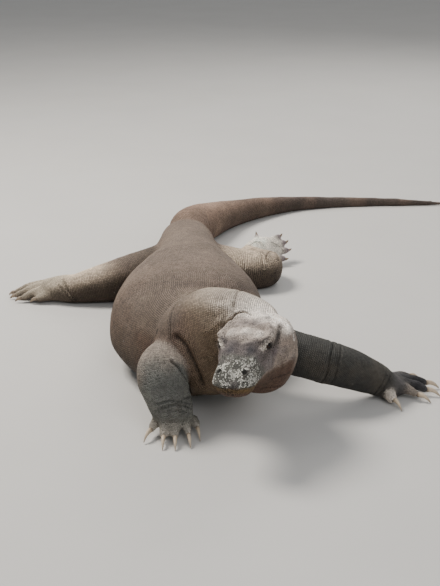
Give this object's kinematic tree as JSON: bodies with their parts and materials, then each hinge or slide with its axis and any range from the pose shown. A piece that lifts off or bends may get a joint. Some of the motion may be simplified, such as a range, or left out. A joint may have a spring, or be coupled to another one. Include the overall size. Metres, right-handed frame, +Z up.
{
  "type": "komodo dragon",
  "caption": "Life-size adult komodo dragon lying on its belly with limbs spread, head raised and turned, and tail curved behind it.",
  "frame": {"origin": "centre of the bounding box's footprint, on the floor that the belly rests on", "axes": "+Z up, snout towards -Y, tail towards +Y and then +X, the animal's left side towards +X"},
  "size_m": [1.2762, 1.671, 0.2486],
  "materials": {
    "skin": "matt beaded scales, grey-brown",
    "claw": "smooth horn, pale tan with dark roots",
    "eye": "wet dark brown"
  },
  "bodies": {
    "root": {"eye_left": "eye", "eye_right": "eye", "foot_left": "skin", "foot_left_claw_1": "claw", "foot_left_claw_2": "claw", "foot_left_claw_3": "claw", "foot_left_claw_4": "claw", "foot_left_claw_5": "claw", "foot_right": "skin", "foot_right_claw_1": "claw", "foot_right_claw_2": "claw", "foot_right_claw_3": "claw", "foot_right_claw_4": "claw", "foot_right_claw_5": "claw", "forearm_left": "skin", "forearm_right": "skin", "hand_left": "skin", "hand_left_claw_1": "claw", "hand_left_claw_2": "claw", "hand_left_claw_3": "claw", "hand_left_claw_4": "claw", "hand_left_claw_5": "claw", "hand_right": "skin", "hand_right_claw_1": "claw", "hand_right_claw_2": "claw", "hand_right_claw_3": "claw", "hand_right_claw_4": "claw", "hand_right_claw_5": "claw", "head": "skin", "lower_jaw": "skin", "neck": "skin", "shank_left": "skin", "shank_right": "skin", "tail_base": "skin", "tail_end": "skin", "tail_middle": "skin", "thigh_left": "skin", "thigh_right": "skin", "trunk": "skin", "upper_arm_left": "skin", "upper_arm_right": "skin"}
  },
  "joints": []
}
